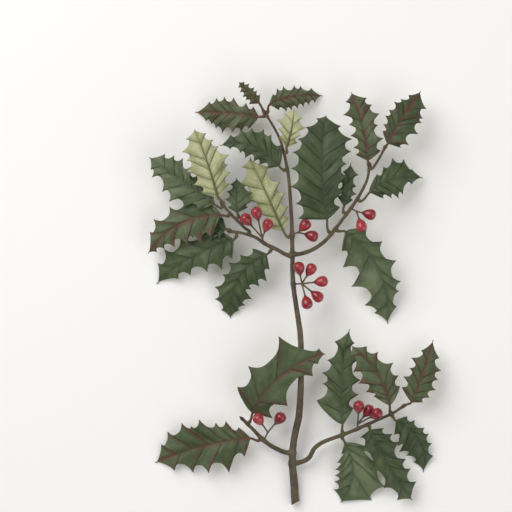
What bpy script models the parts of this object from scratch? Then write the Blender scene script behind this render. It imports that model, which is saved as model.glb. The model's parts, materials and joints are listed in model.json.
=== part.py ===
"""A cut sprig of English holly, lying down: one woody stem with its side shoots, 27 prickly leaves
and six clusters of berries on their stalks.

Lengths in the tables are millimetres. Before it is centred, the sprig is laid out with the cut end
of the stem near x = 0, y = 0, the stem running along +Y, and the table at z = 0.
Run it with: blender --background --python part.py
"""
import bpy
import numpy as np

MM = 0.001

# ---- driving dimensions -----------------------------------------------------------------------

GAP = 0.35                   # clear space between a piece and the one that carries it
STEM_SIDES = 8
STALK_SIDES = 6
STEM_STEP = 9.0              # distance between the rings of a stem or shoot
BUD_LENGTH = 4.0             # pointed bud that ends a shoot, in multiples of its last radius

RIB_THICKNESS = 0.9          # blade at the midrib; it thins to a sharp rim
PETIOLE_HALF_WIDTH = 0.8
PETIOLE_HALF_HEIGHT = 0.55
LEAN = 0.35                  # how far a side vein runs forward for each unit that it runs out
BAY_DEPTH = 0.42             # depth of the bay between two spines, against their spacing
BAY_LIMIT = 0.40             # and the most of the half width that it may take
RIPPLE = 0.13                # spines turn up and down in turn by this much of their reach
JOINING = 0.012              # veins of the two sides closer than this share one row
ROW_SPACING = 0.008          # least share of the blade between two rows of one side

BERRY_LENGTH = 9.8
BERRY_RADIUS = 4.05
BERRY_POINT = 0.28           # how much slimmer a berry is towards its stalk
BERRY_SIDES = 8
BERRY_RINGS = 5
STALK_RADIUS = 0.6

BARK = (0.113, 0.082, 0.054)
YOUNG_BARK = (0.130, 0.100, 0.058)
STALK_BROWN = (0.060, 0.040, 0.025)
BERRY_RED = (0.420, 0.026, 0.034)
GREEN = (0.062, 0.093, 0.041)
RED_VEINED = (0.075, 0.078, 0.043)
UNDERSIDE = (0.300, 0.330, 0.150)
BARK_ROUGHNESS = 0.75
LEAF_ROUGHNESS = 0.40
BERRY_ROUGHNESS = 0.22

# Stems: route points (x, y, z), then the radius at the first and the last point.
STEMS = {
    "main_stem": (
        [(2.2, 0, 3), (0.8, 18, 5.5), (-0.2, 34, 8), (1, 47, 10.5), (4, 61, 13), (5.5, 77, 15),
         (6, 94, 17), (6, 112, 18.5), (5, 127, 19.5), (3, 140, 20), (1, 153, 20.5),
         (-0.2, 168, 21), (-0.5, 194, 22), (-1.5, 217, 22), (-3, 236, 21.5), (-5.5, 250, 21),
         (-9, 263, 20.5), (-14, 273, 20), (-19, 281, 19.5)],
        2.9, 0.8, BARK),
    "lower_left_shoot": (
        [(-4, 37, 8.5), (-9, 38.5, 9), (-15, 41.5, 9.5), (-20, 45, 10), (-26.5, 51.5, 11),
         (-32, 57.5, 12), (-35.5, 60.5, 12.5)],
        1.7, 1.2, YOUNG_BARK),
    "lower_right_shoot": (
        [(4.2, 29.5, 7.5), (8, 30, 8), (12, 33.5, 8.5), (15, 38.5, 9), (18, 42.5, 9.5),
         (24, 45.5, 10.5), (32, 48.5, 11.5), (45, 53.5, 12.5), (54, 57.5, 13),
         (63, 61.5, 13.5), (72, 65.5, 14), (79, 70, 14.5)],
        1.75, 0.9, YOUNG_BARK),
    "upper_left_shoot": (
        [(-2.8, 180, 22), (-9, 183, 22.5), (-16, 186, 23), (-22, 189.5, 23), (-28, 193.5, 23),
         (-34, 195.5, 23), (-40, 196, 22.5), (-44, 197, 22)],
        1.45, 0.95, YOUNG_BARK),
    "upper_left_twig": (
        [(-31.3, 196.8, 23.6), (-35, 200, 24.2), (-40, 205, 24.8), (-45.5, 210.5, 25),
         (-50, 216, 25)],
        1.05, 0.85, YOUNG_BARK),
    "upper_right_shoot": (
        [(2.2, 180.7, 22), (8, 181.5, 22.5), (14.5, 184.5, 23), (21.5, 188.5, 24),
         (27, 194.5, 25), (32, 201, 25.5), (37, 207.5, 26), (41.5, 213.5, 26.5),
         (46, 220, 27), (50.5, 228, 27), (54, 236, 27), (55, 243, 27)],
        1.5, 0.9, YOUNG_BARK),
    "upper_right_twig": (
        [(56.8, 242.6, 27.2), (59.5, 245.5, 27.2), (62.5, 250.5, 27), (65.5, 256, 27)],
        0.95, 0.8, YOUNG_BARK),
}

# Leaves: where the leaf stalk starts, where the blade starts and where it ends (x, y, z); the
# sideways bow of the midrib and its height at mid-blade; the slope across the blade, rising to
# the left as seen from the stalk; and each side's spines as (percent along the blade, mm out).
LEAVES = {
    "leaf_low_left_outer": dict(
        start=(-24.4, 46, 10.6), base=(-31, 47.5, 12), tip=(-100, 29, 0.3), bow=-3, middle=9,
        slope=0.05, look=RED_VEINED,
        left=[(8, 12), (27, 22), (49, 19), (66, 16), (84, 10)],
        right=[(10, 8), (21, 14), (31, 14), (45, 19), (54, 16), (62, 20), (77, 17), (87, 10)]),
    "leaf_low_left_inner": dict(
        start=(-31.3, 59.2, 12.3), base=(-29, 66, 14.5), tip=(24, 109, 25.5), bow=8, middle=22.5,
        slope=0, look=RED_VEINED,
        left=[(14, 18), (33, 21), (67, 24), (94, 5)],
        right=[(5, 14), (29, 18), (78, 12), (89, 5)]),
    "leaf_low_right_upright": dict(
        start=(36, 52.2, 12.6), base=(36, 58, 14.5), tip=(41, 127, 22), bow=3, middle=19,
        slope=0, look=GREEN,
        left=[(25, 17), (41, 13), (52, 14), (65, 11), (84, 8)],
        right=[(16, 8), (31, 12), (47, 13), (69, 10), (86, 5)]),
    "leaf_low_right_upper": dict(
        start=(70.6, 66.8, 15.4), base=(70, 72, 18), tip=(42, 115, 29), bow=-5, middle=27.5,
        slope=0.05, look=RED_VEINED,
        left=[(18, 9), (30, 13), (50, 15), (72, 13), (92, 7)],
        right=[(19, 10), (32, 12), (48, 13), (69, 9), (84, 6)]),
    "leaf_low_right_end": dict(
        start=(80.5, 71.2, 15), base=(86, 74, 15.5), tip=(102, 119, 9), bow=-1, middle=15,
        slope=-0.1, look=RED_VEINED,
        left=[(15, 10), (31, 12), (47, 10), (63, 11), (79, 6)],
        right=[(7, 7), (17, 10), (30, 12), (45, 11), (59, 11), (76, 7)]),
    "leaf_low_right_hanging": dict(
        start=(72.2, 63.6, 13.3), base=(75, 60, 12), tip=(95, 22, 0.3), bow=8, middle=7,
        slope=0, look=GREEN,
        left=[(10, 6), (21, 7), (36, 8), (47, 8), (60, 7), (77, 6)],
        right=[(8, 9), (27, 14), (49, 16), (68, 12), (85, 7)]),
    "leaf_low_right_lower": dict(
        start=(36, 47.6, 11), base=(38, 44, 10.5), tip=(35, 0, 0.3), bow=7, middle=6.5,
        slope=0, look=GREEN,
        left=[(16, 12), (38, 20), (60, 24), (78, 18)],
        right=[(12, 5), (26, 10), (42, 12), (57, 12), (72, 11), (88, 9)]),
    "leaf_low_right_bottom": dict(
        start=(55.4, 56, 13), base=(56, 53.5, 13.5), tip=(87, 2, 6.5), bow=-2, middle=13.5,
        slope=0, look=GREEN,
        left=[(5, 9), (16, 13), (29, 15), (52, 13), (66, 12), (84, 10)],
        right=[(4, 8), (17, 12), (42, 12), (67, 11), (88, 8)]),
    "leaf_high_right_top": dict(
        start=(54.6, 245.2, 27), base=(54, 248.5, 27), tip=(42, 298, 20), bow=-2.5, middle=28,
        slope=0.1, look=RED_VEINED,
        left=[(9, 8), (20, 9), (38, 10), (55, 9), (72, 11), (89, 6)],
        right=[(12, 9), (27, 12), (45, 10), (59, 13), (73, 10), (84, 8)]),
    "leaf_high_right_end": dict(
        start=(66.4, 257.8, 27), base=(68.5, 260.5, 27), tip=(93, 299, 15), bow=1, middle=26,
        slope=0, look=RED_VEINED,
        left=[(13, 7), (23, 9), (35, 11), (46, 11), (60, 11), (70, 8), (82, 5)],
        right=[(4, 9), (14, 13), (37, 15), (55, 13), (64, 12), (80, 10)]),
    "leaf_high_right_side": dict(
        start=(48.1, 219.1, 27), base=(55.5, 225.5, 26), tip=(95, 236, 5), bow=5, middle=21,
        slope=0, look=GREEN,
        left=[(24, 7), (38, 10), (53, 14), (68, 12), (80, 5)],
        right=[(12, 9), (27, 12), (44, 14), (58, 12), (80, 5)]),
    "leaf_high_right_drooping": dict(
        start=(32, 197.8, 25), base=(38, 197, 23.5), tip=(69, 130, 0.3), bow=10, middle=18,
        slope=-0.1, look=GREEN,
        left=[(12, 11), (28, 13), (47, 14), (64, 12), (72, 9), (85, 6)],
        right=[(9, 12), (23, 20), (52, 22), (80, 16), (90, 9)]),
    "leaf_high_middle_broad": dict(
        start=(26, 197, 25.8), base=(24.5, 206, 28), tip=(24, 281, 27), bow=3, middle=31,
        slope=0.05, look=GREEN,
        left=[(5, 20), (18, 20), (33, 23), (49, 22), (63, 21), (75, 18), (86, 13), (95, 6)],
        right=[(10, 10), (25, 14), (40, 18), (53, 17), (66, 20), (79, 20), (91, 11)]),
    "leaf_high_middle_small": dict(
        start=(36.7, 210.9, 26.3), base=(37, 216, 25), tip=(42, 247, 19), bow=0, middle=22.5,
        slope=0, look=GREEN,
        left=[(18, 5), (34, 6), (56, 6), (76, 4)],
        right=[(15, 5), (30, 7), (48, 6), (74, 6)]),
    "leaf_high_left_upper": dict(
        start=(-51.4, 214.6, 25), base=(-57, 217, 25.5), tip=(-104, 251, 15), bow=0, middle=25,
        slope=-0.05, look=GREEN,
        left=[(12, 10), (28, 15), (46, 17), (61, 14), (81, 10), (89, 6)],
        right=[(10, 6), (24, 10), (37, 9), (50, 11), (64, 13), (75, 11), (86, 8)]),
    "leaf_high_left_outer": dict(
        start=(-46.3, 208.6, 24.6), base=(-52, 209, 24), tip=(-105, 181, 9), bow=-8, middle=19.5,
        slope=0.15, look=RED_VEINED,
        left=[(14, 15), (31, 18), (52, 15), (71, 11), (83, 7), (92, 4)],
        right=[(14, 10), (31, 16), (50, 14), (69, 13), (81, 8)]),
    "leaf_high_left_lower": dict(
        start=(-40.6, 193.9, 21.8), base=(-43, 191, 20.5), tip=(-99, 159, 0.3), bow=-4, middle=11,
        slope=0.05, look=GREEN,
        left=[(8, 12), (24, 17), (42, 14), (62, 10), (77, 7)],
        right=[(12, 9), (30, 14), (50, 17), (70, 15), (84, 10)]),
    "leaf_high_left_middle": dict(
        start=(-45.4, 198, 21.6), base=(-48.5, 199, 21.2), tip=(-84, 205, 11.5), bow=0, middle=17.2,
        slope=0, look=GREEN,
        left=[(10, 7), (26, 10), (44, 11), (63, 10), (82, 6)],
        right=[(12, 8), (29, 11), (47, 11), (66, 9), (84, 6)]),
    "leaf_high_left_inner": dict(
        start=(-39.4, 207.6, 25.2), base=(-40, 211, 25.5), tip=(-40.5, 236, 20), bow=0, middle=24.5,
        slope=0, look=GREEN,
        left=[(16, 6), (38, 8), (60, 7), (81, 4)],
        right=[(14, 7), (33, 11), (55, 11), (77, 6)]),
    "leaf_high_left_hanging": dict(
        start=(-16, 183.3, 21.9), base=(-19, 180.5, 20.5), tip=(-45, 134, 0.3), bow=-9, middle=13.5,
        slope=0, look=GREEN,
        left=[(6, 10), (20, 16), (37, 15), (52, 11), (69, 14), (82, 10), (90, 6)],
        right=[(10, 8), (24, 10), (38, 12), (52, 11), (67, 13), (79, 11), (90, 6)]),
    "leaf_high_left_turned": dict(
        start=(-50.2, 217.6, 26), base=(-54, 222, 29.5), tip=(-71, 271, 22), bow=-1, middle=31,
        slope=0, look=UNDERSIDE,
        left=[(12, 10), (26, 14), (47, 16), (62, 13), (76, 14), (91, 8)],
        right=[(13, 10), (27, 13), (38, 13), (50, 16), (65, 11), (76, 9), (88, 6)]),
    "leaf_high_inner_turned": dict(
        start=(-3.2, 193.2, 22), base=(-7, 198, 22.5), tip=(-31, 251, 16), bow=0, middle=20.5,
        slope=-0.1, look=UNDERSIDE,
        left=[(14, 10), (33, 13), (53, 15), (74, 15), (92, 8)],
        right=[(12, 7), (24, 10), (41, 12), (56, 12), (79, 9)]),
    "leaf_top_left": dict(
        start=(-20.8, 280.4, 19.5), base=(-25, 280, 18), tip=(-71, 284, 0.3), bow=-1, middle=12.5,
        slope=0, look=RED_VEINED,
        left=[(12, 9), (24, 12), (38, 13), (54, 14), (65, 11), (73, 8), (82, 6)],
        right=[(10, 6), (22, 8), (41, 11), (55, 11), (67, 10), (78, 7)]),
    "leaf_top_small": dict(
        start=(-20.8, 283.6, 20.2), base=(-24.5, 290, 22), tip=(-39, 305, 23), bow=0, middle=24,
        slope=0, look=RED_VEINED,
        left=[(20, 5), (38, 5), (53, 5), (71, 4), (86, 2.5)],
        right=[(17, 4), (34, 4.5), (50, 4.5), (71, 4), (86, 2.5)]),
    "leaf_top_right": dict(
        start=(-18.2, 283.4, 19.6), base=(-16.5, 289, 18.5), tip=(22, 296, 0.3), bow=3, middle=14,
        slope=0, look=RED_VEINED,
        left=[(12, 5), (22, 8), (33, 8), (50, 7), (61, 6), (79, 4)],
        right=[(11, 6), (24, 9), (36, 9), (49, 9), (62, 8), (74, 7), (86, 5)]),
    "leaf_top_low_left": dict(
        start=(-6, 241.5, 21.6), base=(-10, 244.5, 22.5), tip=(-53, 259, 21), bow=-7, middle=26.5,
        slope=0.05, look=GREEN,
        left=[(9, 7), (24, 9), (37, 9), (56, 9), (68, 6), (85, 3)],
        right=[(17, 11), (33, 13), (44, 14), (57, 12), (69, 10), (83, 6)]),
    "leaf_top_turned": dict(
        start=(-4.6, 254.3, 21.8), base=(-4.5, 258, 24), tip=(1, 286, 27), bow=-1, middle=27.5,
        slope=0, look=UNDERSIDE,
        left=[(20, 7), (40, 9), (63, 11), (84, 7)],
        right=[(18, 6), (36, 7), (56, 9), (77, 6)]),
}

# Berry clusters: the point on the shoot, the fork of the stalk, and the middle of each berry.
CLUSTERS = {
    "lower_left": ((-19.2, 46.8, 11.2), (-18, 52, 14.5), [(-24.5, 61.5, 21.5), (-9.5, 62, 18.5)]),
    "lower_right": (
        (46, 55.7, 13.6), (47, 58, 15.5), [(47.5, 70.5, 23), (54.5, 67.5, 17), (60, 65.5, 24)]),
    "middle": (
        (2.6, 158.6, 21.2), (6.5, 159.5, 23),
        [(4.5, 170.5, 27.5), (12.8, 169.5, 24), (20.5, 161, 23), (17.5, 150.5, 22), (10, 146, 27)]),
    "upper_stem": ((1.2, 195.4, 22.6), (4, 196.5, 24.5), [(8.5, 201.5, 24), (13.5, 194, 25)]),
    "upper_left": (
        (-20, 190.2, 24.2), (-22, 192.5, 26.5),
        [(-18.5, 201.5, 29.5), (-26, 210, 35), (-33.5, 205.5, 31)]),
    "upper_right": ((43.7, 213.2, 27.3), (45.8, 211.5, 28.5), [(55, 209.5, 27.5), (49, 201.5, 31)]),
}


# ---- small helpers ----------------------------------------------------------------------------

def unit(vector):
    """The vector scaled to length one."""
    vector = np.asarray(vector, float)
    return vector / np.linalg.norm(vector)


def smooth_route(points, step):
    """Even points on a Catmull-Rom curve through the given ones, about one step apart."""
    p = np.array(points, float)
    p = np.vstack([2 * p[0] - p[1], p, 2 * p[-1] - p[-2]])
    t = np.linspace(0, 1, 9)[:-1, None]
    runs = [0.5 * (2 * b + (c - a) * t + (2 * a - 5 * b + 4 * c - d) * t ** 2
                   + (3 * b - a - 3 * c + d) * t ** 3)
            for a, b, c, d in zip(p, p[1:], p[2:], p[3:])]
    fine = np.vstack(runs + [p[-2:-1]])
    along = np.append(0, np.cumsum(np.linalg.norm(np.diff(fine, axis=0), axis=1)))
    even = np.linspace(0, along[-1], max(3, round(along[-1] / step) + 1))
    return np.stack([np.interp(even, along, fine[:, k]) for k in range(3)], axis=1)


def across(direction):
    """Two unit vectors square to a direction and to each other, the first one level."""
    side = unit(np.cross((0, 0, 1), direction))
    return side, np.cross(direction, side)


def add_object(name, points, faces, colour, roughness):
    """A named object with its own material, its origin at its first point, on the sprig's empty."""
    origin = np.array(points[0])
    mesh = bpy.data.meshes.new(name)
    mesh.from_pydata(((np.array(points) - origin) * MM).tolist(), [], faces)
    material = bpy.data.materials.new(name + "_finish")
    material.use_nodes = True
    shader = material.node_tree.nodes["Principled BSDF"]
    shader.inputs["Base Color"].default_value = (*colour, 1)
    shader.inputs["Roughness"].default_value = roughness
    shader.inputs["Metallic"].default_value = 0
    mesh.materials.append(material)
    obj = bpy.data.objects.new(name, mesh)
    obj.location = origin * MM
    bpy.context.scene.collection.objects.link(obj)
    obj.parent = bpy.data.objects["sprig"]
    return obj


def ring_chain(start, rings, end):
    """Points and triangles of a closed skin: an end point, ring after ring, and an end point.

    Every other strip is split along its other diagonal, so the two faces of a leaf blade, which
    are neighbouring strips, bend along the same lines and never pass through each other.
    """
    sides = len(rings[0])
    points = [start, *[point for ring in rings for point in ring], end]
    last = len(points) - 1
    faces = []
    for k in range(sides):
        n = (k + 1) % sides
        faces.append((0, 1 + n, 1 + k))
        for row in range(len(rings) - 1):
            a = 1 + row * sides
            b = a + sides
            if k % 2:
                faces.append((a + k, a + n, b + k))
                faces.append((a + n, b + n, b + k))
            else:
                faces.append((a + k, a + n, b + n))
                faces.append((a + k, b + n, b + k))
        faces.append((last - sides + k, last - sides + n, last))
    return points, faces


def round_ring(centre, direction, radius, sides):
    """Points of one ring round a direction, counted so that a chain of rings faces outward."""
    side, up = across(direction)
    turn = np.linspace(0, 2 * np.pi, sides, endpoint=False)[:, None]
    return centre + radius * (side * np.cos(turn) + up * np.sin(turn))


# ---- stems and shoots -------------------------------------------------------------------------

def stem(name, route, first_radius, last_radius, colour):
    """A tapering woody stem: a flat cut or joined end, and a pointed bud at the far end."""
    path = smooth_route(route, STEM_STEP if len(route) > 6 else STEM_STEP / 2)
    headings = np.gradient(path, axis=0)
    radii = np.linspace(first_radius, last_radius, len(path))
    rings = [round_ring(point, unit(heading), radius, STEM_SIDES)
             for point, heading, radius in zip(path, headings, radii)]
    bud = path[-1] + unit(headings[-1]) * last_radius * BUD_LENGTH / 4
    points, faces = ring_chain(path[0], rings, bud)
    add_object(name, points, faces, colour, BARK_ROUGHNESS)


# ---- leaves -----------------------------------------------------------------------------------

def edge_corners(spines, length):
    """Corners of one edge as (share along, mm out, is spine): spines with a bay between them."""
    first_at, first_out = spines[0]
    corners = [(0.45 * first_at / 100, 0.6 * first_out, False)]
    for (at, out), (next_at, next_out) in zip(spines, spines[1:] + [(100, 0)]):
        corners.append((at / 100, out, True))
        mean = (out + next_out) / 2
        spacing = (next_at - at) / 100 * length
        bay = mean - min(BAY_DEPTH * spacing, BAY_LIMIT * mean)
        corners.append(((at + next_at) / 200, bay, False))
    return corners


def vein_starts(corners, length):
    """Where on the midrib the row to each corner starts, further back the wider the blade is."""
    starts = []
    for at, out, _ in corners:
        back = max(at - LEAN * out / length, 0.35 * at)
        starts.append(max(back, starts[-1] + ROW_SPACING) if starts else back)
    return np.array(starts)


class Blade:
    """The middle surface of one leaf: a bowed midrib with a height and a slope at each place."""

    def __init__(self, base, tip, bow, middle, slope):
        self.base = np.array(base, float)
        self.tip = np.array(tip, float)
        self.run = self.tip[:2] - self.base[:2]
        self.length = np.linalg.norm(self.run)
        self.left = np.array([-self.run[1], self.run[0]]) / self.length
        self.bow = bow
        self.middle = middle
        self.slope = slope

    def rib(self, at):
        """Midrib point: a straight run with a parabolic bow, and a parabola for the height."""
        arch = 4 * at * (1 - at)
        plan = self.base[:2] + self.run * at + self.left * self.bow * arch
        level = self.base[2] + (self.tip[2] - self.base[2]) * at
        lift = self.middle - (self.base[2] + self.tip[2]) / 2
        return np.array([*plan, max(level + lift * arch, 0)])

    def normal(self, at):
        """Level direction square to the midrib, to the left."""
        along = unit(self.run + self.left * self.bow * 4 * (1 - 2 * at))
        return np.array([-along[1], along[0], 0])

    def edge(self, at, out, turn):
        """Edge point out to the left (or right, if negative), never lower than the table."""
        point = self.rib(at) + self.normal(at) * out
        point[2] = max(point[2] + self.slope * out + turn * abs(out), 0)
        return point


def leaf(name, start, base, tip, bow, middle, slope, look, left, right):
    """One leaf: a stalk of flat diamonds and a spiny blade with a sharp rim, as one skin."""
    blade = Blade(base, tip, bow, middle, slope)
    starts, edges = [], []
    for side, spines in ((1, left), (-1, right)):
        corners = edge_corners(spines, blade.length)
        turn = RIPPLE * side
        points = [blade.edge(0, side * PETIOLE_HALF_WIDTH, 0)]
        for at, out, is_spine in corners:
            points.append(blade.edge(at, side * out, turn if is_spine else 0))
            turn = -turn if is_spine else turn
        points.append(blade.edge(1, 0, 0))
        starts.append(np.concatenate([[0], vein_starts(corners, blade.length), [1]]))
        edges.append(np.array(points))
    for k, at in enumerate(starts[1][1:-1], 1):
        nearest = starts[0][np.abs(starts[0] - at).argmin()]
        if 0 < abs(nearest - at) < JOINING and starts[1][k - 1] < nearest < starts[1][k + 1]:
            starts[1][k] = nearest
    rows = np.unique(np.concatenate(starts))[1:-1]

    up = np.array([0, 0, RIB_THICKNESS / 2])
    foot = np.array(start, float)
    heading = unit(blade.base - foot)
    side, rise = across(heading)
    rings = []
    for share in (0, 0.5, 1):
        centre = foot + (blade.base - foot) * share
        rings.append([centre - side * PETIOLE_HALF_WIDTH, centre - rise * PETIOLE_HALF_HEIGHT,
                      centre + side * PETIOLE_HALF_WIDTH, centre + rise * PETIOLE_HALF_HEIGHT])
    for at in rows:
        reach = [[np.interp(at, s, e[:, k]) for k in range(3)] for s, e in zip(starts, edges)]
        rib = blade.rib(at)
        under = np.maximum(rib - up, (-np.inf, -np.inf, 0))
        rings.append([np.array(reach[1]), under, np.array(reach[0]), rib + up])
    points, faces = ring_chain(foot, rings, blade.rib(1))
    add_object(name, points, faces, look, LEAF_ROUGHNESS)


# ---- berries and their stalks -----------------------------------------------------------------

def berry(name, fork, middle):
    """A berry pointing away from the fork: an oval turned shape, slimmer towards its stalk."""
    axis = unit(np.subtract(middle, fork))
    turn = np.linspace(0, np.pi, BERRY_RINGS + 2)
    height = -np.cos(turn) * BERRY_LENGTH / 2
    radius = BERRY_RADIUS * np.sin(turn) * (1 - BERRY_POINT * np.cos(turn))
    centres = np.array(middle) + axis * height[:, None]
    rings = [round_ring(c, axis, r, BERRY_SIDES) for c, r in zip(centres[1:-1], radius[1:-1])]
    points, faces = ring_chain(centres[0], rings, centres[-1])
    add_object(name, points, faces, BERRY_RED, BERRY_ROUGHNESS)


def stalk_arm(name, first, last):
    """A straight six-sided arm of a berry stalk."""
    first = np.array(first, float)
    last = np.array(last, float)
    axis = unit(last - first)
    rings = [round_ring(p, axis, STALK_RADIUS, STALK_SIDES) for p in (first, last)]
    points, faces = ring_chain(first, rings, last)
    return add_object(name, points, faces, STALK_BROWN, BARK_ROUGHNESS)


def cluster(name, foot, fork, middles):
    """A forked stalk, joined into one body, with a berry just past the end of each arm."""
    fork = np.array(fork, float)
    past = unit(fork - foot) * STALK_RADIUS
    stalk = stalk_arm(name + "_berry_stalk", foot, fork + past)
    for number, middle in enumerate(middles, 1):
        axis = unit(middle - fork)
        end = np.array(middle) - axis * (BERRY_LENGTH / 2 + GAP)
        arm = stalk_arm(f"{name}_arm_{number}", fork - axis * STALK_RADIUS / 2, end)
        arm.hide_render = True
        arm.display_type = "WIRE"
        union = stalk.modifiers.new(f"arm_{number}", "BOOLEAN")
        union.operation = "UNION"
        union.solver = "EXACT"
        union.object = arm
        berry(f"{name}_berry_{number}", fork, middle)


# ---- the sprig --------------------------------------------------------------------------------

def centre_on_table():
    """Move the empty so that the origin is under the middle of the whole sprig, on the table."""
    bpy.context.view_layer.update()
    solid = [o for o in bpy.data.objects if o.type == "MESH" and not o.hide_render]
    points = np.array([o.matrix_world @ v.co for o in solid for v in o.data.vertices])
    low, high = points.min(axis=0), points.max(axis=0)
    middle = (low + high) / 2
    bpy.data.objects["sprig"].location = (-middle[0], -middle[1], -low[2])


def main():
    for obj in list(bpy.data.objects):
        bpy.data.objects.remove(obj, do_unlink=True)
    empty = bpy.data.objects.new("sprig", None)
    bpy.context.scene.collection.objects.link(empty)
    for name, (route, first_radius, last_radius, colour) in STEMS.items():
        stem(name, route, first_radius, last_radius, colour)
    for name, shape in LEAVES.items():
        leaf(name, **shape)
    for name, (foot, fork, middles) in CLUSTERS.items():
        cluster(name, foot, fork, middles)
    centre_on_table()


main()
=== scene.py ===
# %% [markdown]
# # A cut sprig of English holly
#
# This lesson dresses the plain solids of a holly sprig, lying on a pale table, as the real plant:
# woody stems with bark, prickly leaves with dark veins, a few of them turned to show their pale
# back, and glossy red berries.
# The solids give every place and size. Each cell explains one part of the plant and builds it.

import json

import bmesh
import bpy
import numpy as np
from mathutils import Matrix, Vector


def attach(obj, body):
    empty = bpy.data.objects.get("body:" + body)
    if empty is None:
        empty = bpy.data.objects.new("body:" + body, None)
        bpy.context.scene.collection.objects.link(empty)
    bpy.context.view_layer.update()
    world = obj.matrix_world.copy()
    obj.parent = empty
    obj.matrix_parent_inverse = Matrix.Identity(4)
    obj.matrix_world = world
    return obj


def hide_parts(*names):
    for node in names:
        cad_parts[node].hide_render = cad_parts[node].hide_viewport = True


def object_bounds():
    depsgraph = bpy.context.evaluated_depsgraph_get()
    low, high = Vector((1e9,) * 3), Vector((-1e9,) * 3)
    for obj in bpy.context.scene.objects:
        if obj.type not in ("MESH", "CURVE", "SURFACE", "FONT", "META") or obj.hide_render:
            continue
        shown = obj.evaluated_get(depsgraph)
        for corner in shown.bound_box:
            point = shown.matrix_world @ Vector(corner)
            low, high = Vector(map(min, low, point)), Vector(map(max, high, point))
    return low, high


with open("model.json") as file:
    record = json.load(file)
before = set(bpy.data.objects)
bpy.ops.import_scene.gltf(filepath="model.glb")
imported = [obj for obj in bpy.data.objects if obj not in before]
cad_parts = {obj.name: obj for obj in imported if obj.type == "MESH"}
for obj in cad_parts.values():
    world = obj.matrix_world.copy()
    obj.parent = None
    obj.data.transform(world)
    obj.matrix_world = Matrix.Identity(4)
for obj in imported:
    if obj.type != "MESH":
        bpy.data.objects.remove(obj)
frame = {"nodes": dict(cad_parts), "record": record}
solid_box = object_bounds()
nodes = frame["nodes"]
slot_of = {part["node"]: part["material_slot"] for part in frame["record"]["subparts"]}
low, high = np.array(solid_box[0]), np.array(solid_box[1])
size = high - low
MM = 0.001
print("nodes", len(nodes), "size in mm", (size / MM).round(1))

# %% [markdown]
# ## Reading a solid's own lines
#
# Every stem, leaf and berry of the solids is a chain of rings closed by end points. A solid comes
# as loose triangles, so a copy of it is welded first. From an end point, the first ring is one
# step away along the edges, the second ring two steps, and so on, so counting steps gives the
# rings back exactly. Nothing is measured by eye, and no table is repeated here.

# %% Weld a copy, and sort its points into rings
WELD = 1e-6


def welded(name):
    """Points in mm of a welded copy of a node, and the numbers of each point's neighbours."""
    copy = bmesh.new()
    copy.from_mesh(nodes[name].data)
    bmesh.ops.remove_doubles(copy, verts=copy.verts, dist=WELD)
    points = np.array([v.co for v in copy.verts]) / MM
    near = [[edge.other_vert(v).index for edge in v.link_edges] for v in copy.verts]
    copy.free()
    return points, near


def layers(near, first):
    """Point numbers by their least number of edges from the first point."""
    seen, layer, found = {first}, [first], []
    while layer:
        found.append(layer)
        layer = list({b for a in layer for b in near[a]} - seen)
        seen.update(layer)
    return found


def rings_of(name, sides, far_from=None):
    """Rings of a node from its foot to its end point, as an array (ring, side, xyz), and the end.

    The end point has as many neighbours as a ring has sides, and whole rings all the way from it.
    Of several such points, it is the one that lies furthest from the points in far_from, or, if
    there are none, the one that lies closest to its neighbours: the point of a bud.
    """
    points, near = welded(name)
    ends = [i for i, others in enumerate(near) if len(others) == sides]
    if far_from is None:
        ends.sort(key=lambda i: np.linalg.norm(points[near[i]] - points[i], axis=1).mean())
    else:
        ends.sort(key=lambda i: -np.linalg.norm(far_from - points[i], axis=1).min())
    for end in ends:
        steps = layers(near, end)
        if len(steps[-1]) == 1:
            steps.pop()
        if all(len(step) == sides for step in steps[1:]):
            return np.array([points[step] for step in steps[:0:-1]]), points[end]
    raise ValueError(name + " has no chain of rings")


wood = {}
for name in nodes:
    if name.endswith(("_stem", "_shoot", "_twig")):
        rings = rings_of(name, 8)[0]
        centres = rings.mean(axis=1)
        wood[name] = (centres, np.linalg.norm(rings - centres[:, None], axis=2).mean(axis=1))
wood_points = np.vstack([centres for centres, _ in wood.values()])
print("limbs", {name: len(line[0]) for name, line in wood.items()})

# %% [markdown]
# ## Smooth lines and closed skins
#
# Real stems and midribs have no kinks, but the solids' lines are made of straight runs. A cubic
# curve through the same points takes the kinks out. Every piece below is then a grid of points,
# row after row along a line, wound into a closed skin.

# %% Curves, grids and tubes
def unit(vectors):
    """The vectors scaled to length one."""
    return vectors / np.linalg.norm(vectors, axis=-1, keepdims=True)


def distances(points):
    """Distance along a line of points, from its first one."""
    return np.append(0, np.cumsum(np.linalg.norm(np.diff(points, axis=0), axis=1)))


def flow(points, along, at):
    """A smooth line through points that lie at the distances along, read at other distances.

    Between points a and b, h apart, with slopes p and q and t from 0 to 1, it is the cubic
    (2t^3 - 3t^2 + 1) a + (t^3 - 2t^2 + t) h p + (3t^2 - 2t^3) b + (t^3 - t^2) h q.
    """
    slope = np.gradient(points, along, axis=0)
    i = np.clip(np.searchsorted(along, at, side="right") - 1, 0, len(along) - 2)
    h = (along[i + 1] - along[i])[:, None]
    t = (at - along[i])[:, None] / h
    return ((2 * t**3 - 3 * t**2 + 1) * points[i] + (t**3 - 2 * t**2 + t) * h * slope[i]
            + (3 * t**2 - 2 * t**3) * points[i + 1] + (t**3 - t**2) * h * slope[i + 1])


def ease(value, start, end):
    """0 up to start, 1 from end on, and 3t^2 - 2t^3 between them."""
    t = np.clip((value - start) / (end - start), 0, 1)
    return t * t * (3 - 2 * t)


def sides_of(headings):
    """Two directions square to each heading: level to the left, and up."""
    left = unit(np.cross((0, 0, 1), headings))
    return left, np.cross(headings, left)


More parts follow.
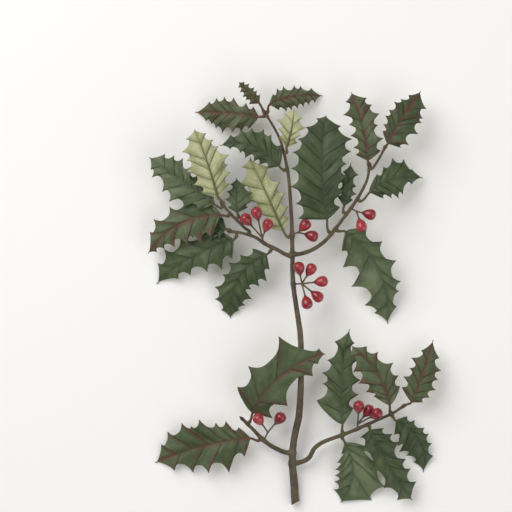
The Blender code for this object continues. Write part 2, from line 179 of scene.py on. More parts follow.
def closed_skin(rows, first, last, offset=0):
    """Points and faces of rows of points wound round, closed by a first and a last point."""
    count, around = rows.shape[:2]
    points = np.vstack([[first], rows.reshape(-1, 3), [last]])
    k = np.arange(around)
    n = (k + 1) % around
    a = 1 + offset + np.arange(count - 1)[:, None] * around
    quads = np.stack([a + k, a + n, a + around + n, a + around + k], axis=-1).reshape(-1, 4)
    end = offset + len(points) - 1
    start_fan = np.stack([np.full(around, offset), 1 + offset + n, 1 + offset + k], axis=1)
    end_fan = np.stack([end - around + k, end - around + n, np.full(around, end)], axis=1)
    return points, quads.tolist() + start_fan.tolist() + end_fan.tolist()


def tube_rows(path, radii, around):
    """Rings round a path: the point, plus the radius times left cos + up sin of the turn."""
    left, up = sides_of(unit(np.gradient(path, axis=0)))
    turn = np.linspace(0, 2 * np.pi, around, endpoint=False)[None, :, None]
    spread = left[:, None] * np.cos(turn) + up[:, None] * np.sin(turn)
    return path[:, None] + np.broadcast_to(radii, (len(path), around))[..., None] * spread


def piece(name, points, faces, finishes, which=0, marks=None):
    """A finished smooth-shaded object at the origin that replaces the node of its name.

    Points are in mm, which is each face's finish, and marks are one number or vector per point.
    """
    mesh = bpy.data.meshes.new(name + "_look")
    mesh.from_pydata((points * MM).tolist(), [], faces)
    for finish in finishes:
        mesh.materials.append(finish)
    mesh.polygons.foreach_set("material_index", np.broadcast_to(which, len(faces)).astype(np.int32))
    for mark, values in (marks or {}).items():
        kind = "FLOAT" if np.ndim(values) == 1 else "FLOAT_VECTOR"
        field = mesh.attributes.new(mark, kind, "POINT")
        field.data.foreach_set("value" if kind == "FLOAT" else "vector",
                               np.ascontiguousarray(values, np.float32).ravel())
    mesh.shade_smooth()
    obj = bpy.data.objects.new(name + "_look", mesh)
    bpy.context.scene.collection.objects.link(obj)
    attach(obj, "root")
    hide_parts(name)
    return obj


# %% [markdown]
# ## Paint shop
#
# Materials are sums. A small class wraps a node's output so that the sums can be written as plain
# Python, and one method makes any other node. Colours are written as they look on screen, 0 to
# 255, and turned into the linear values that the shader wants.

# %% Shader sums written as Python
def shade(red, green, blue):
    """A screen colour as linear light: ((c + 0.055) / 1.055) to the power 2.4."""
    c = np.array([red, green, blue]) / 255
    return (*np.where(c > 0.04045, ((c + 0.055) / 1.055) ** 2.4, c / 12.92).tolist(), 1)


class Wire:
    """One value that runs through a finish. Sums on it add Math nodes."""

    def __init__(self, finish, socket):
        self.finish = finish
        self.socket = socket

    def sum(self, operation, first, second=0.0):
        return self.finish.node("Math", {"operation": operation}, {0: first, 1: second})

    def __add__(self, other):
        return self.sum("ADD", self, other)

    def __sub__(self, other):
        return self.sum("SUBTRACT", self, other)

    def __rsub__(self, other):
        return self.sum("SUBTRACT", other, self)

    def __mul__(self, other):
        return self.sum("MULTIPLY", self, other)

    def most(self, other):
        return self.sum("MAXIMUM", self, other)

    __radd__ = __add__
    __rmul__ = __mul__


class Finish:
    """A material in the making, round its Principled shader."""

    def __init__(self, name):
        self.material = bpy.data.materials.new(name)
        self.material.use_nodes = True
        self.tree = self.material.node_tree
        self.shader = self.tree.nodes["Principled BSDF"]

    def node(self, kind, settings=None, values=None, out=0):
        """Any node: its settings first, then the values or links of its sockets."""
        made = self.tree.nodes.new("ShaderNode" + kind)
        for key, value in (settings or {}).items():
            if key == "stops":
                ramp = made.color_ramp.elements
                while len(ramp) < len(value):
                    ramp.new(1)
                for stop, (place, colour) in zip(ramp, value):
                    stop.position, stop.color = place, colour
            else:
                setattr(made, key, value)
        for key, value in (values or {}).items():
            self.feed(made.inputs[key], value)
        return Wire(self, made.outputs[out])

    def feed(self, socket, value):
        if isinstance(value, Wire):
            self.tree.links.new(value.socket, socket)
        else:
            socket.default_value = value

    def mark(self, name, out="Fac"):
        """A number, or with out="Vector" a vector, that the piece carries at each point."""
        return self.node("Attribute", {"attribute_name": name}, out=out)

    def place(self):
        """The point's own place, in metres."""
        return self.node("TexCoord", out="Object")

    def noise(self, grain, detail=3, rough=0.5, at=None):
        """Cloudy noise about 0.5, with lumps of about the given size in metres."""
        return self.node("TexNoise", {}, {"Vector": at or self.place(), "Scale": 1 / grain,
                                          "Detail": detail, "Roughness": rough})

    def cells(self, grain, at=None):
        """Distance to the nearest wall between cells of about the given size, 0 on the wall."""
        return self.node("TexVoronoi", {"feature": "DISTANCE_TO_EDGE"},
                         {"Vector": at or self.place(), "Scale": 1 / grain})

    def step(self, value, start, end):
        """0 up to start, 1 from end on, and a soft step between."""
        return self.node("MapRange", {"interpolation_type": "SMOOTHSTEP"},
                         {"Value": value, "From Min": start, "From Max": end})

    def mix(self, share, first, second):
        """The first colour, turning to the second by the share."""
        return self.node("Mix", {"data_type": "RGBA"}, {0: share, 6: first, 7: second}, out=2)

    def ramp(self, value, *stops):
        return self.node("ValToRGB", {"stops": stops}, {"Fac": value})

    def done(self, colour, roughness, height=None, depth=0.0002, **constants):
        """Plug in colour, roughness and relief, and set the sockets that are the same all over."""
        self.feed(self.shader.inputs["Base Color"], colour)
        self.feed(self.shader.inputs["Roughness"], roughness)
        if height is not None:
            relief = self.node("Bump", {}, {"Height": height, "Distance": depth})
            self.feed(self.shader.inputs["Normal"], relief)
        for key, value in constants.items():
            self.shader.inputs[key.replace("_", " ")].default_value = value
        return self.material


# %% [markdown]
# ## Leaf finishes
#
# A holly leaf is dark olive green and waxy above, pale yellow-green and dull below. Its midrib and
# side veins show as dark lines, with painted shade in the creases along them, a fine net of small
# veins lies between them, faint streaks run out with the veins, and the rim browns into hard,
# sharp spines.
# On some leaves the red-brown of autumn spreads from the veins. An even noise could colour a leaf,
# but the pattern of a real one follows its veins. So the pieces carry the distances that this
# needs: from the midrib, from the nearest side vein and from the nearest spine, all in
# millimetres, the share of the way across, and a place that is stretched along the side veins.

# %% Upper face, green or red-veined
SPINE_BROWN = shade(74, 64, 42)


def vein_marks(f):
    """Masks: side-vein lines, bands of painted shade in the creases along them, the net, spine
    tips, and stains out to the spines.

    A wobble of the distance from the vein makes its line and band wander, swell and break.
    The net is of small cells, with fainter and wider loops over it.
    """
    vein, across, spine = (f.mark(m) for m in ("from_vein", "across", "from_spine"))
    inner = 1 - f.step(across, 0.70, 1.0)
    wobble = f.noise(0.006, 3) * 1.5 - 0.75
    line = (1 - f.step(vein + wobble * 0.55, 0.05, 0.46)) * inner
    # painted shade: a wider band in the creases along each side vein
    vein_crease_shade = (1 - f.step(vein + wobble * 2.2, 0.2, 3.0)) * inner
    net = 1 - f.step(f.cells(0.0016), 0.0, 0.09)
    loops = (1 - f.step(f.cells(0.0052), 0.0, 0.075)) * (1 - f.step(across, 0.8, 1.0))
    tips = 1 - f.step(spine, 0.4, 3.0)
    stain = 1 - f.step(vein + wobble * 2.6, 0.3, 2.4)
    return line, vein_crease_shade, net.most(loops), tips, stain


def upper_face(name, redness):
    """Green clouds and streaks, dark veins with painted shade along them and the midrib, red bands
    by redness, and brown spine tips.
    """
    f = Finish(name)
    line, vein_crease_shade, net, tips, stain = vein_marks(f)
    rib, across = f.mark("from_rib"), f.mark("across")
    clouds, mottle = f.noise(0.024, 2), f.noise(0.0035, 4, 0.6)
    streaks = f.noise(1.0, 4, 0.6, f.mark("grain", "Vector"))
    tone = clouds * 0.55 + mottle * 0.2 + streaks * 0.45 + f.mark("tone") * 0.22
    green = f.ramp(tone, (0.50, shade(54, 66, 40)), (0.65, shade(74, 87, 57)),
                   (0.79, shade(92, 104, 73)), (0.92, shade(112, 121, 90)))
    colour = f.mix(net * 0.16, green, shade(60, 70, 48))
    # painted shade: darker green in the creases along the side veins
    colour = f.mix(vein_crease_shade * 0.42, colour, shade(52, 64, 44))
    # painted shade: darker green where the blade sinks into the midrib's groove
    colour = f.mix((1 - f.step(rib, 0.6, 3.4)) * 0.3, colour, shade(50, 60, 40))
    colour = f.mix(line * 0.7, colour, shade(38, 46, 30))
    if redness:
        patches = f.step(f.noise(0.008, 4, 0.6), 0.38, 0.60)
        near_rib = 1 - f.step(rib + f.noise(0.004, 2) * 2, 1.2, 4.4)
        band = near_rib.most(stain * 0.8) * (patches * 0.8 + 0.2)
        colour = f.mix(band * redness, colour, shade(96, 60, 50))
        colour = f.mix(line * 0.55, colour, shade(78, 44, 38))
    rim = f.step(across, 0.965, 0.99)
    colour = f.mix(rim * 0.45, colour, shade(112, 112, 78))
    colour = f.mix(tips * 0.75, colour, SPINE_BROWN)
    height = mottle * 0.35 - net * 0.3 - line * 1.2 + streaks * 0.4
    return f.done(colour, mottle * 0.22 + net * 0.08 + 0.34, height, 0.00022,
                  Specular_IOR_Level=0.32)


def under_face(name):
    """Creamy yellow-green between the veins, painted olive shade along them and the midrib, with
    the same net and spines.
    """
    f = Finish(name)
    line, vein_crease_shade, net, tips, _ = vein_marks(f)
    rib, across = f.mark("from_rib"), f.mark("across")
    clouds, mottle = f.noise(0.020, 2), f.noise(0.003, 4, 0.6)
    streaks = f.noise(1.0, 4, 0.6, f.mark("grain", "Vector"))
    tone = clouds * 0.5 + mottle * 0.2 + streaks * 0.5 + f.mark("tone") * 0.15
    pale = f.ramp(tone, (0.46, shade(134, 140, 94)), (0.60, shade(164, 167, 123)),
                  (0.78, shade(194, 194, 156)))
    colour = f.mix(net * 0.22, pale, shade(122, 128, 82))
    # painted shade: olive in the creases along the side veins
    colour = f.mix(vein_crease_shade * 0.6, colour, shade(120, 127, 82))
    # painted shade: olive in the creases along the raised midrib
    colour = f.mix((1 - f.step(rib, 0.5, 3.0)) * 0.5, colour, shade(118, 124, 76))
    colour = f.mix(line * 0.75, colour, shade(94, 98, 62))
    rim = f.step(across, 0.95, 0.985)
    colour = f.mix(rim * 0.5, colour, shade(124, 118, 78))
    colour = f.mix(tips * 0.7, colour, shade(98, 86, 54))
    height = mottle * 0.3 + net * 0.35 + line * 1.1 + streaks * 0.3
    return f.done(colour, mottle * 0.2 + 0.5, height, 0.00022, Specular_IOR_Level=0.3)


def rib_finish(name, on_blade, on_stalk):
    """The midrib's colour, darkening and browning down the leaf stalk."""
    f = Finish(name)
    streak = f.noise(0.0025, 3)
    along = f.mark("along")
    colour = f.mix(f.step(along, -0.06, 0.10), on_stalk, on_blade)
    colour = f.mix(streak * 0.4, colour, shade(60, 60, 40))
    return f.done(colour, streak * 0.2 + 0.4, streak, 0.0002, Specular_IOR_Level=0.3)


green_top = upper_face("leaf_green_upper", 0)
red_top = upper_face("leaf_red_veined_upper", 0.85)
pale_back = under_face("leaf_underside")
green_rib = rib_finish("midrib_green", shade(62, 72, 48), shade(92, 86, 58))
red_rib = rib_finish("midrib_red", shade(104, 60, 50), shade(94, 68, 50))
pale_rib = rib_finish("midrib_pale", shade(104, 108, 68), shade(104, 102, 64))
print("leaf finishes", green_top.name, red_top.name, pale_back.name)

# %% [markdown]
# ## Leaves
#
# A holly blade is one tough, springy sheet. Its edge swings in scallops from spine to spine, the
# spines turn up and down in turn, each half is arched between the midrib and the edge, and the
# blade is puffed a little between the side veins, which run out to the spines. The midrib sinks
# into the upper face and stands out from the lower one, and goes on below as the leaf stalk.
#
# The blade could be a flat sheet with a picture of an outline, or a grid bent to shape. A grid is
# used: one direction runs along the midrib and the other along the side veins, so that veins,
# puffs and spines all fall on its lines, and the outline is real geometry down to the spine tips.

# %% Read a leaf's midrib and edges from its solid
STALK_WIDTH = 1.7            # rings narrower than this, in mm, belong to the leaf stalk
TURN = 1.4e-3                # one minus the cosine of the least turn that makes a corner
POINT = 0.8                  # mm that a spine's needle reaches past the solid's corner


def leaf_lines(name):
    """Leaf stalk, midrib, left edge and right edge of a leaf in mm, row by row from the foot.

    Of a ring's four points, the two closest in plan are the top and the bottom of the midrib.
    """
    rings, tip = rings_of(name, 4, wood_points)
    pairs = np.array([(0, 1), (0, 2), (0, 3), (1, 2), (1, 3), (2, 3)])
    apart = np.linalg.norm(rings[:, pairs[:, 0], :2] - rings[:, pairs[:, 1], :2], axis=2)
    closest = apart.argmin(axis=1)
    row = np.arange(len(rings))[:, None]
    rib = rings[row, pairs[closest]].mean(axis=1)
    rims = rings[row, pairs[5 - closest]]
    heading = np.gradient(np.vstack([rib, tip]), axis=0)[:-1]
    side = np.cross(heading[:, None, :2], (rims - rib[:, None])[..., :2])
    left = rims[np.arange(len(rims)), side.argmax(axis=1)]
    right = rims[np.arange(len(rims)), side.argmin(axis=1)]
    base = np.argmax(np.linalg.norm(left - right, axis=1) > STALK_WIDTH) - 1
    out = STALK_WIDTH / 2 * unit(np.cross((0, 0, 1), rib[base + 1] - rib[base]))
    left[base], right[base] = rib[base] + out, rib[base] - out
    return rib[:base + 1], *(np.vstack([line[base:], tip]) for line in (rib, left, right))


def scallops(edge, fine, power):
    """Points of the scalloped edge at fine row numbers, the phase there, and its spines.

    The edge's corners are by turns a hollow and a spine. From one spine to the next, with t from 0
    to 1, the edge is their straight line plus the hollow's depth times 1 - |2t - 1|^power.
    """
    run = unit(np.diff(edge, axis=0))
    corner = np.flatnonzero(1 - (run[:-1] * run[1:]).sum(axis=1) > TURN) + 1
    at = distances(edge)
    spines = edge[np.concatenate([[0], corner[1::2], [len(edge) - 1]])]
    hollows = edge[corner[0::2]]
    spines[1:-1] += POINT * unit(spines[1:-1] - (hollows[:-1] + hollows[1:]) / 2)
    stops = np.concatenate([[0], at[corner], [at[-1]]])
    phase = np.interp(np.interp(fine, np.arange(len(edge)), at), stops, np.arange(len(stops)) / 2)
    i = np.minimum(phase.astype(int), len(hollows) - 1)
    t = (phase - i)[:, None]
    a, b, hollow = spines[i], spines[i + 1], hollows[i]
    line = a * (1 - t) + b * t + (hollow - (a + b) / 2) * (1 - np.abs(2 * t - 1) ** power)
    return line, phase, spines


# %% Bend a blade, and run its midrib through it
ROW_STEP = 0.55              # mm between rows of a blade
ACROSS = np.array([0, 0.05, 0.12, 0.21, 0.32, 0.44, 0.56, 0.67, 0.77, 0.86, 0.93, 0.975, 1])
SPINE_POWER = 3.0            # how sharply the edge runs out into its spines
ARCH = 0.075                 # height of a half's arch, against its width
PUFF = 0.8                   # mm that the blade rises between two side veins
LEAN = 0.5                   # how far back on the midrib a side vein starts, against the half width
LEAN_ENDS = 0.9              # share of the way across where that slant has faded out
LEAN_POWER = 1.2             # how fast it fades
SWEEP = 0.03                 # how far a side vein bows back, against the half width
HALF_THICK = 0.24            # mm
RIM_THINS = 0.35             # share of the thickness that is lost towards the edge
WAVE = 0.9                   # mm that slow waves raise and lower the edge
FULL_LENGTH = 60             # mm; a leaf shorter than this has finer veins
ROD_SIDES = 10               # sides of the midrib
FOOT_ROWS = 14               # rows of the leaf stalk
FOOT_SWELLS = (0.7, 1.3)     # share and length in mm of the swelling at the leaf stalk's foot
RIB_RADIUS = (0.85, 0.28)    # mm, at the foot and at the tip
RIB_SHOWS = 0.30             # mm that the midrib's top lies above the middle of the blade
GRAIN = (3.2, 1.1)           # streaks from one side vein to the next, and from midrib to edge
LIFT = {"leaf_high_left_middle": (1.8, 0)}   # mm that its left and right edge are raised to
                                             # clear the leaf that lies below
chance = np.random.default_rng(5)


def wood_points_near(point):
    """The nearest point on a limb's middle line."""
    best = None
    for centres, _ in wood.values():
        at = np.linspace(0, distances(centres)[-1], 200)
        line = flow(centres, distances(centres), at)
        near = line[np.linalg.norm(line - point, axis=1).argmin()]
        if best is None or np.linalg.norm(near - point) < np.linalg.norm(best - point):
            best = near
    return best


def leaf(name):
    """A leaf as one mesh: the blade's closed skin, and the midrib with the leaf stalk.

    A point of the blade's middle is midrib + across * (edge - midrib) + slant * fade. The slant
    is the way back along the midrib to where the side vein starts, and the fade is
    (1 - across / LEAN_ENDS)^LEAN_POWER. The point is raised by the arch,
    ARCH * width * sin(pi * across), by the puff, PUFF * sin(pi * phase)^2 * sin(pi * across),
    by the lift times across, and by slow waves, and it is swept back along the midrib by
    SWEEP * width * sin(pi * across). The two faces lie half the thickness to either side of it.
    """
    turned = slot_of[name] == "leaf_underside"
    stalk, rib, left, right = leaf_lines(name)
    steps = [np.linalg.norm(np.diff(line, axis=0), axis=1) for line in (rib, left, right)]
    count = np.max(steps, axis=0)
    count = np.maximum(1, np.round(count / ROW_STEP)).astype(int)
    fine = np.concatenate([k + np.arange(n) / n for k, n in enumerate(count)])
    at_rib = np.interp(fine, np.arange(len(rib)), distances(rib))
    share = (at_rib / distances(rib)[-1])[:, None]
    half_width = np.linalg.norm(left - right, axis=1).max() / 2
    middle = flow(rib, distances(rib), at_rib)
    at_start = at_rib - LEAN * half_width * np.sin(np.pi * share[:, 0])
    slant = flow(rib, distances(rib), np.maximum(at_start, 0)) - middle
    heading = unit(np.gradient(middle, axis=0))
    soft_ends = ease(share, 0, 0.25) * ease(1 - share, 0, 0.2)
    small = np.clip(distances(rib)[-1] / FULL_LENGTH, 0.45, 1)
    halves, marks = [], []
    for edge, lift in zip((left, right), LIFT.get(name, (0, 0))):
        line, phase, spines = scallops(edge, fine, SPINE_POWER)
        reach = line - middle
        width = np.linalg.norm(reach, axis=1)[:, None]
        u = ACROSS[None, :]
        whole = np.clip(np.round(phase), 1, len(spines) - 2).astype(int)
        gaps = np.linalg.norm(np.diff(spines, axis=0), axis=1)
        gap = gaps[np.minimum(phase.astype(int), len(spines) - 2)]
        from_vein = (np.abs(phase - whole) * gap)[:, None] + 0 * u
        puff = PUFF * np.sin(np.pi * phase)[:, None] ** 2 * np.sin(np.pi * u) * ease(width, 2, 8)
        grid = middle[:, None] + reach[:, None] * u[..., None]
        grid += slant[:, None] * (np.clip(1 - u / LEAN_ENDS, 0, 1) ** LEAN_POWER)[..., None]
        grid[..., 2] += ARCH * width * np.sin(np.pi * u) + (-puff if turned else puff)
        grid -= heading[:, None] * (SWEEP * width * np.sin(np.pi * u) * soft_ends)[..., None]
        nearest = np.linalg.norm(grid[:, :, None] - spines[None, None, 1:], axis=3).min(axis=2)
        grid[..., 2] += lift * u
        halves.append(grid)
        marks.append([width * u / small, from_vein / small, u + 0 * width, nearest / small,
                      phase[:, None] + 0 * u])
    grid = np.concatenate([halves[0][:, :0:-1], halves[1]], axis=1)
    marks = [np.concatenate([a[:, :0:-1], b], axis=1) for a, b in zip(*marks)]
    phase = marks.pop()
    waves = chance.uniform(0.06, 0.22, (4, 2)) * chance.choice([-1, 1], (4, 2))
    swing = np.sin(grid[..., None, :2] @ waves.T[None] + chance.uniform(0, 6, 4))
    grid[..., 2] += WAVE * swing[..., 0, :].mean(axis=-1) * marks[2]

    normal = np.cross(np.gradient(grid, axis=0), np.gradient(grid, axis=1))
    normal = unit(normal + (0, 0, 1e-9))
    normal *= np.sign(normal[..., 2:])
    thick = HALF_THICK * (1 - RIM_THINS * marks[2] ** 6)[..., None]
    over, under = grid + normal * thick, grid - normal * thick
    under[..., 2] = np.maximum(under[..., 2], 0)
    over[..., 2] = np.maximum(over[..., 2], 1.5 * HALF_THICK)
    rows = np.concatenate([over, under[:, ::-1]], axis=1)
    points, faces = closed_skin(rows, middle[0], rib[-1])
    columns = over.shape[1]
    face_column = np.concatenate([np.tile(np.arange(2 * columns), len(rows) - 1),
                                  np.arange(2 * columns), np.arange(2 * columns)])
    which = np.where((face_column < columns - 1) != turned, 0, 1)

    root = wood_points_near(stalk[0])
    path = np.vstack([root, stalk[:-1], rib])
    far = distances(path)
    at = np.concatenate([np.linspace(0, far[len(stalk)], FOOT_ROWS)[:-1],
                         far[len(stalk)] + np.linspace(0, at_rib[-1], len(fine) // 2)])
    line = flow(path, far, at)
    share = (at - far[len(stalk)]) / at_rib[-1]
    first, last = RIB_RADIUS
    radii = first + (last - first) * ease(share, 0, 1) ** 0.7
    swell, swell_length = FOOT_SWELLS
    radii = radii * (1 + swell * np.exp(-((at - far[1]) / swell_length) ** 2))
    sink = (radii - RIB_SHOWS) * ease(share, 0, 0.08)
    line[:, 2] += sink if turned else -sink
    line[:, 2] = np.maximum(line[:, 2], radii * 0.9)
    rod_rows = tube_rows(line, radii[:, None], ROD_SIDES)
    rod, rod_faces = closed_skin(rod_rows, line[0], line[-1], len(points))
    along = np.concatenate([[share[0]], np.repeat(share, ROD_SIDES), [share[-1]]])

    def on_blade(values, first_value, last_value):
        sheet = np.concatenate([values, values[:, ::-1]], axis=1).ravel()
        return np.concatenate([[first_value], sheet, [last_value]])

    fields = [on_blade(m, m[0, columns // 2], end) for m, end in zip(marks, (0, 9, 1, 0))]
    tone = np.full(len(points) + len(rod), chance.uniform(0, 1))
    grain = np.zeros((len(tone), 3))
    grain[:len(points), 0] = on_blade(phase * GRAIN[0], 0, 0)
    grain[:len(points), 1] = on_blade(marks[2] * GRAIN[1], 0, 0)
    grain[:, 2] = chance.uniform(0, 50)
    names = ("from_rib", "from_vein", "across", "from_spine")
    all_marks = {n: np.concatenate([v, np.full(len(rod), 9.0)]) for n, v in zip(names, fields)}
    all_marks["across"][len(points):] = 0
    all_marks["tone"], all_marks["grain"] = tone, grain
    all_marks["along"] = np.concatenate([np.zeros(len(points)), along])
    reddish = slot_of[name] == "leaf_red_veined"
    finishes = [red_top if reddish else green_top, pale_back,
                pale_rib if turned else red_rib if reddish else green_rib]
    which = np.concatenate([which, np.full(len(rod_faces), 2)])
    return piece(name, np.vstack([points, rod]), faces + rod_faces, finishes, which, all_marks)


leaves = {name: leaf(name) for name in sorted(nodes) if name.startswith("leaf_")}
print("leaves", len(leaves), "faces", sum(len(o.data.polygons) for o in leaves.values()))

# %% [markdown]
# ## Bark and cut wood
#
# The stem's bark is thin, grey-brown and finely streaked along the stem, with small corky dots.
# Younger shoots are greener. Where the sprig was cut, pale wood shows with a dark rim of bark and
# a small soft pith in the middle.

# %% Bark finishes
def bark(name, dark, middle, light, green):
    """Streaks that follow the limb, corky dots, green patches, and a pale cut face."""
    f = Finish(name)
    around = f.mark("bark", "Vector")
    streaks = f.noise(0.16, 4, 0.6, around)
    blotches = f.noise(0.011, 3)
    dots = 1 - f.step(f.node("TexVoronoi", {}, {"Vector": f.place(), "Scale": 330.0}), 0.10, 0.24)
    colour = f.ramp(streaks * 0.55 + blotches * 0.5, (0.36, dark), (0.53, middle), (0.72, light))
    colour = f.mix(f.step(f.noise(0.02, 2), 0.5, 0.68) * green, colour, shade(92, 96, 62))
    colour = f.mix(dots * 0.5, colour, shade(136, 122, 98))
    colour = f.mix(f.step(f.mark("bud"), 0.0, 0.35) * 0.8, colour, shade(66, 50, 36))
    cut = f.mark("cut")
    rings = f.node("Math", {"operation": "SINE"}, {0: cut * 55.0}) * 0.5 + 0.5
    face = f.mix(rings * 0.35, shade(196, 182, 146), shade(168, 148, 110))
    face = f.mix(f.step(cut, 0.86, 0.94), face, shade(120, 96, 62))
    colour = f.mix(f.step(cut, 0.12, 0.16), colour, face)
    return f.done(colour, streaks * 0.25 + 0.55, streaks * 0.9 + dots * 0.4, 0.00035,
                  Specular_IOR_Level=0.25)


old_bark = bark("bark", shade(60, 51, 41), shade(92, 82, 67), shade(124, 112, 94), 0.2)
new_bark = bark("young_bark", shade(58, 49, 37), shade(90, 80, 61), shade(116, 105, 82), 0.4)

# %% [markdown]
# ## Limbs
#
# A limb is a tube that swells where a leaf, a shoot or a berry stalk leaves it, and wanders a
# little out of round. A shoot starts inside the limb that carries it, with a flared collar, and
# ends in a small pointed bud. The main stem starts with the slanting cut.

# %% Grow the limbs
LIMB_STEP = 0.6
LIMB_SIDES = 24
BUD = 4.5                    # mm of bud past the last ring of a limb
BUD_ROWS = 17
KNOT = (0.22, 2.0)           # share of the radius that a knot adds, and its length in mm
COLLAR = (0.55, 2.6)         # the same for the flare where a shoot starts
SCALES = 0.24                # height of a bud scale's step, against the radius
SLANT = (0.45, 0, 0.25)      # slope of the cut face, across and up
LUMPS = ((2, 0.11, 0.3, 0.035), (3, -0.23, 1.7, 0.03), (5, 0.05, 2.2, 0.02), (1, 0.6, 4.0, 0.02))
feet = {name: leaf_lines(name)[0][0] for name in leaves}
for name, (centres, _) in wood.items():
    feet[name] = centres[0]
for name in nodes:
    if name.endswith("_stalk"):
        stalk_points = welded(name)[0]
        gaps = np.linalg.norm(stalk_points[:, None] - wood_points[None], axis=2)
        feet[name] = stalk_points[gaps.min(axis=1).argmin()]


def limb(name):
    """Rings of slowly changing radius along a smooth path, with knots, lumps, a collar and a bud.

    A knot adds its share of the radius times exp(-(distance / length)^2), and so does a collar.
    A lump, (waves round, waves per mm, start, height), is a wave of the turn and of the distance
    together. With t from 0 to 1, a bud's radius is that of the limb's end times
    (1 + 0.45 sin(pi t)) (1 - t^2.2), and its scales are steps that wind round it.
    """
    centres, radii = wood[name]
    is_stem = name == "main_stem"
    if not is_stem:
        others = {k: v for k, v in wood.items() if k != name}
        lines = [flow(c, distances(c), np.linspace(0, distances(c)[-1], 300))
                 for c, _ in others.values()]
        joint = min((line[np.linalg.norm(line - centres[0], axis=1).argmin()] for line in lines),
                    key=lambda p: np.linalg.norm(p - centres[0]))
        centres, radii = np.vstack([joint, centres]), np.append(radii[0], radii)
    far = distances(centres)
    at = np.linspace(0, far[-1], int(far[-1] / LIMB_STEP))
    path, radius = flow(centres, far, at), np.interp(at, far, radii)
    for owner, foot in feet.items():
        gap = np.linalg.norm(path - foot, axis=1)
        if owner != name and gap.min() < radii.max() + 1.5:
            radius = radius + KNOT[0] * radius * np.exp(-((at - at[gap.argmin()]) / KNOT[1]) ** 2)
    if not is_stem:
        radius = radius * (1 + COLLAR[0] * np.exp(-(at / COLLAR[1]) ** 2))
    t = np.linspace(0, 1, BUD_ROWS)[1:-1]
    heading = unit(path[-1] - path[-3])
    path = np.vstack([path, path[-1] + heading * (t * BUD)[:, None]])
    radius = np.append(radius, radius[-1] * (1 + 0.45 * np.sin(np.pi * t)) * (1 - t ** 2.2))
    along = distances(path)
    past = np.clip((along - at[-1]) / BUD, 0, 1)
    turn = np.linspace(0, 2 * np.pi, LIMB_SIDES, endpoint=False)
    lumps = sum(np.sin(k * turn[None] + along[:, None] * w + p) * h for k, w, p, h in LUMPS)
    scales = SCALES * ((3 * past[:, None] + turn / np.pi) % 1) * ease(past, 0, 0.15)[:, None]
    rows = tube_rows(path, radius[:, None] * (1 + lumps - scales), LIMB_SIDES)
    bark_place = np.stack([np.cos(turn) + 0 * along[:, None], np.sin(turn) + 0 * along[:, None],
                           along[:, None] * 0.045 + 0 * turn], axis=-1)
    cut = np.zeros(rows.shape[:2])
    if is_stem:
        slant = (rows[0] - path[0]) @ SLANT
        ease_in = np.exp(-along / 3)[:, None]
        rows[..., 1] += slant[None] * ease_in
        shares = np.array([0.16, 0.4, 0.66, 0.88, 0.97])[:, None, None]
        dent = np.array([0.25, 0.12, 0.05, 0, 0])[:, None, None] * np.array([0, 1, 0])
        inner = rows[0].mean(axis=0) * (1 - shares) + rows[0][None] * shares + dent
        rows = np.concatenate([inner, rows])
        cut = np.concatenate([1 - shares[..., 0] * 0.85 + 0 * turn, cut])
        bark_place = np.concatenate([np.repeat(bark_place[:1], len(inner), axis=0), bark_place])
    points, faces = closed_skin(rows, rows[0].mean(axis=0), path[-1] + heading * BUD / 16)
    bud = np.broadcast_to(past[:, None], (len(along), LIMB_SIDES)).ravel()
    bud = np.concatenate([np.zeros(1 + rows.shape[0] * LIMB_SIDES - len(bud)), bud, [1]])
    marks = {"bark": np.vstack([bark_place[0, 0], bark_place.reshape(-1, 3), bark_place[-1, 0]]),
             "bud": bud,
             "cut": np.concatenate([[float(is_stem)], cut.ravel(), [0]])}
    return piece(name, points, faces, [old_bark if is_stem else new_bark], 0, marks)


limbs = {name: limb(name) for name in wood}
print("limbs", {name: len(o.data.polygons) for name, o in limbs.items()})

# %% [markdown]
# ## Berries and their stalks
#
# A ripe holly berry is a glossy red egg, a little slimmer towards its stalk. At the stalk it sits
# in a small brown star, the dried calyx, and at the far end it has a black four-part dot where
# the flower's stigma was. The stalks of a cluster meet in one fork.

# %% Berry and stalk finishes
def berry_finish():
    """Clouds of darker and lighter red, with small pale pores, under a clear gloss."""
    f = Finish("berry_red")
    clouds, grain = f.noise(0.0045, 3), f.noise(0.0009, 2)
    tone = clouds * 0.8 + grain * 0.15 + f.mark("tone") * 0.25
    colour = f.ramp(tone, (0.38, shade(104, 24, 32)), (0.58, shade(146, 36, 46)),
                    (0.80, shade(170, 56, 66)))
    pores = 1 - f.step(f.node("TexVoronoi", {}, {"Vector": f.place(), "Scale": 900.0}), 0.08, 0.2)
    colour = f.mix(pores * 0.2, colour, shade(196, 96, 96))
    return f.done(colour, grain * 0.14 + 0.16, clouds + pores * 0.3, 0.00012, Coat_Weight=0.3,
                  Coat_Roughness=0.08)


def dry_finish(name, dark, light):
    """Streaky dry brown."""
    f = Finish(name)
    streak = f.noise(0.0012, 4, 0.6)
    return f.done(f.ramp(streak, (0.35, dark), (0.7, light)), streak * 0.3 + 0.5, streak, 0.00015)


red = berry_finish()
calyx_brown = dry_finish("berry_calyx", shade(38, 28, 20), shade(84, 64, 44))
stalk_brown = dry_finish("berry_stalk", shade(62, 50, 36), shade(112, 98, 66))

# %% Make a berry, its calyx and its dot
BERRY_ROWS = 26
BERRY_AROUND = 40
SLIMMER = 0.26               # how much slimmer a berry is towards its stalk
STAR_RADIUS = 1.25           # mm
DOT_RADIUS = 0.68
berries = {}


